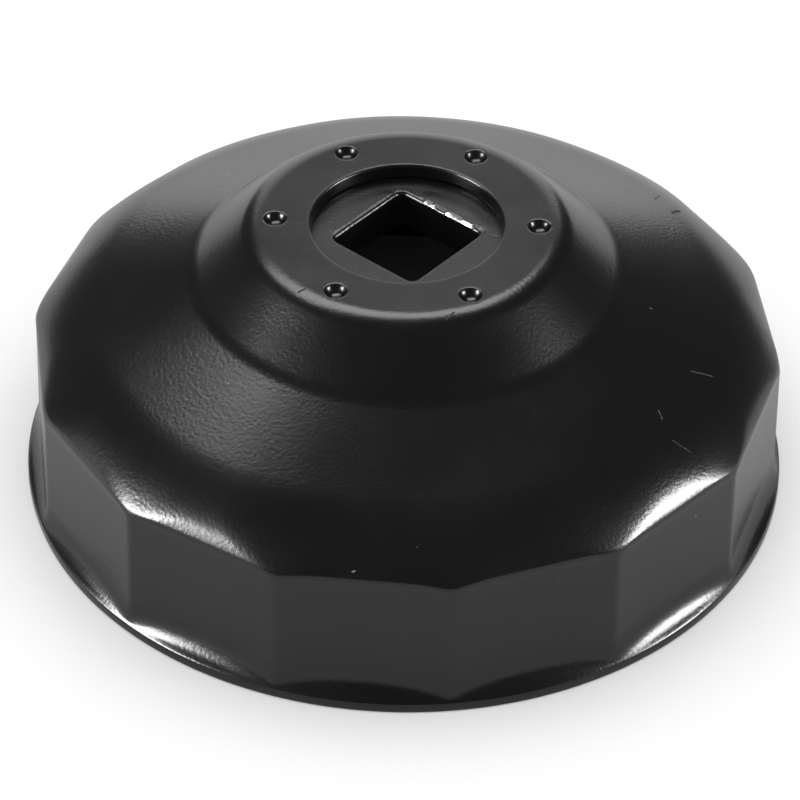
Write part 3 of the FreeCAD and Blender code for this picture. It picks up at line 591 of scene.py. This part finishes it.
def make_weld_steel():
    """Bare fused steel: grey metal with heat tint and a fine grain."""
    material, tree, shader, place = start_material("weld_steel")
    grain = use(tree, PEEL, {"Place": place, "Cell size": 0.0006})
    tint = ramp(tree, noise(tree, place, 700.0, 3.0), 0.3, 0.7)
    colour = mix_colour(tree, tint, (0.45, 0.44, 0.43, 1), (0.3, 0.26, 0.24, 1))
    tree.links.new(colour, shader.inputs["Base Color"])
    shader.inputs["Metallic"].default_value = 1.0
    tree.links.new(maths(tree, "ADD", maths(tree, "MULTIPLY", tint, 0.15), 0.16), shader.inputs["Roughness"])
    bumped = node(tree, "ShaderNodeBump", {"Height": grain.outputs["Height"], "Distance": 0.00009})
    tree.links.new(bumped.outputs[0], shader.inputs["Normal"])
    return material


shell = make_shell()
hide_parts("cup_shell")
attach(shell, "root")
shell.data.materials.append(make_paint("cup_paint", 0.23, 0.000026))

plate = make_plate()
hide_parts("drive_plate")
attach(plate, "root")
plate.data.materials.append(make_paint("plate_paint", 0.27, 0.00003))

WELD_STEEL = make_weld_steel()
for number in range(1, WELDS + 1):
    nugget = bpy.data.objects[f"weld_nugget_{number}"]
    nugget.data.materials.clear()
    nugget.data.materials.append(WELD_STEEL)


# ---------------------------------------------------------------- studio
CAMERA_PLACE = (0.25326, -0.301075, 0.333452)
CAMERA_TURN = (50.4558, -0.6091, 40.6563)
CAMERA_LENS = 183.73
CAMERA_SIDE = -49.93        # azimuth of the camera as seen from the cap


def polar(side, elevation, distance):
    """A place given by its angle from the camera's side, its elevation and its distance from the cap."""
    turn, rise = math.radians(CAMERA_SIDE + side), math.radians(elevation)
    return Vector((math.cos(turn) * math.cos(rise), math.sin(turn) * math.cos(rise), math.sin(rise))) * distance


def softbox(name, side, elevation, distance, width, tall, radiance, aim=(0, 0, 0.015), soft_light=False):
    """A rectangular light seen in reflections but not by the camera; radiance 1 reflects as white.

    soft_light turns it round: it lights matt surfaces and stays out of reflections.
    """
    light = bpy.data.lights.new(name, "AREA")
    light.shape = "RECTANGLE"
    light.size, light.size_y = width, tall
    light.energy = radiance * width * tall * math.pi
    lamp = bpy.data.objects.new(name, light)
    bpy.context.scene.collection.objects.link(lamp)
    lamp.location = polar(side, elevation, distance)
    lamp.rotation_mode = "QUATERNION"
    lamp.rotation_quaternion = (Vector(aim) - lamp.location).to_track_quat("-Z", "Y")
    lamp.visible_camera = False
    lamp.visible_diffuse = soft_light
    lamp.visible_glossy = not soft_light


def make_floor():
    """A plain pale floor, large enough to fill every view; in reflections it is darker, with painted light brightening
    it towards either side of the camera's line.
    """
    reach = 3.0
    mesh = bpy.data.meshes.new("floor")
    corners = [(-reach, -reach, 0), (reach, -reach, 0), (reach, reach, 0), (-reach, reach, 0)]
    mesh.from_pydata(corners, [], [(0, 1, 2, 3)])
    floor = bpy.data.objects.new("floor", mesh)
    bpy.context.scene.collection.objects.link(floor)
    material, tree, shader, place = start_material("floor_white")
    tone = noise(tree, place, 3.0, 2.0)
    plain = mix_colour(tree, tone, (0.94, 0.94, 0.94, 1), (0.96, 0.96, 0.96, 1))
    turned = node(tree, "ShaderNodeVectorRotate", {"Vector": place, "Angle": math.radians(-CAMERA_SIDE)}, rotation_type="Z_AXIS")
    aside = maths(tree, "ABSOLUTE", node(tree, "ShaderNodeSeparateXYZ", {0: turned.outputs[0]}).outputs[1])
    # painted light: the floor's colour in reflections is brightened to either side of the camera's line, where the
    # softboxes would light it
    painted_side_light = ramp(tree, aside, 0.03, 0.16)
    reflected_floor_and_painted_light = mix_colour(tree, painted_side_light, (0.66, 0.66, 0.67, 1), (0.8, 0.8, 0.8, 1))
    glossy = tree.nodes.new("ShaderNodeLightPath").outputs["Is Glossy Ray"]
    tree.links.new(mix_colour(tree, glossy, plain, reflected_floor_and_painted_light), shader.inputs["Base Color"])
    shader.inputs["Roughness"].default_value = 0.9
    shader.inputs["Specular IOR Level"].default_value = 0.1
    mesh.materials.append(material)


def make_world():
    """White to the camera and to soft light; nearly dark in reflections, which the softboxes fill."""
    world = bpy.data.worlds.new("studio")
    bpy.context.scene.world = world
    world.use_nodes = True
    tree = world.node_tree
    tree.nodes.clear()
    path = tree.nodes.new("ShaderNodeLightPath")
    white = node(tree, "ShaderNodeBackground", {"Color": (1, 1, 1, 1), "Strength": 1.0})
    dark = node(tree, "ShaderNodeBackground", {"Color": (0.95, 0.97, 1, 1), "Strength": 0.085})
    mixed = node(tree, "ShaderNodeMixShader", {0: path.outputs["Is Glossy Ray"], 1: white.outputs[0], 2: dark.outputs[0]})
    output = tree.nodes.new("ShaderNodeOutputWorld")
    tree.links.new(mixed.outputs[0], output.inputs["Surface"])


def make_camera():
    """The camera: a long lens from the front right of the cap, forty degrees up."""
    camera = bpy.data.objects.new("camera", bpy.data.cameras.new("camera"))
    bpy.context.scene.collection.objects.link(camera)
    camera.location = CAMERA_PLACE
    camera.rotation_euler = [math.radians(angle) for angle in CAMERA_TURN]
    camera.data.lens = CAMERA_LENS
    camera.data.sensor_width = 36.0
    camera.data.clip_start, camera.data.clip_end = 0.01, 20.0
    bpy.context.scene.camera = camera


make_world()
make_floor()
make_camera()
softbox("left_box", -73, 17, 1.0, 0.44, 0.40, 36.0)
softbox("right_box", 79, 16, 1.0, 0.36, 0.36, 32.0)
softbox("top_back", -165, 61, 1.0, 0.85, 0.42, 6.0)
softbox("back_wall", 180, 17, 1.4, 1.12, 0.86, 1.4)
softbox("overhead", 0, 89, 1.6, 1.6, 1.6, 0.75, soft_light=True)

bpy.context.scene.view_settings.view_transform = "Standard"
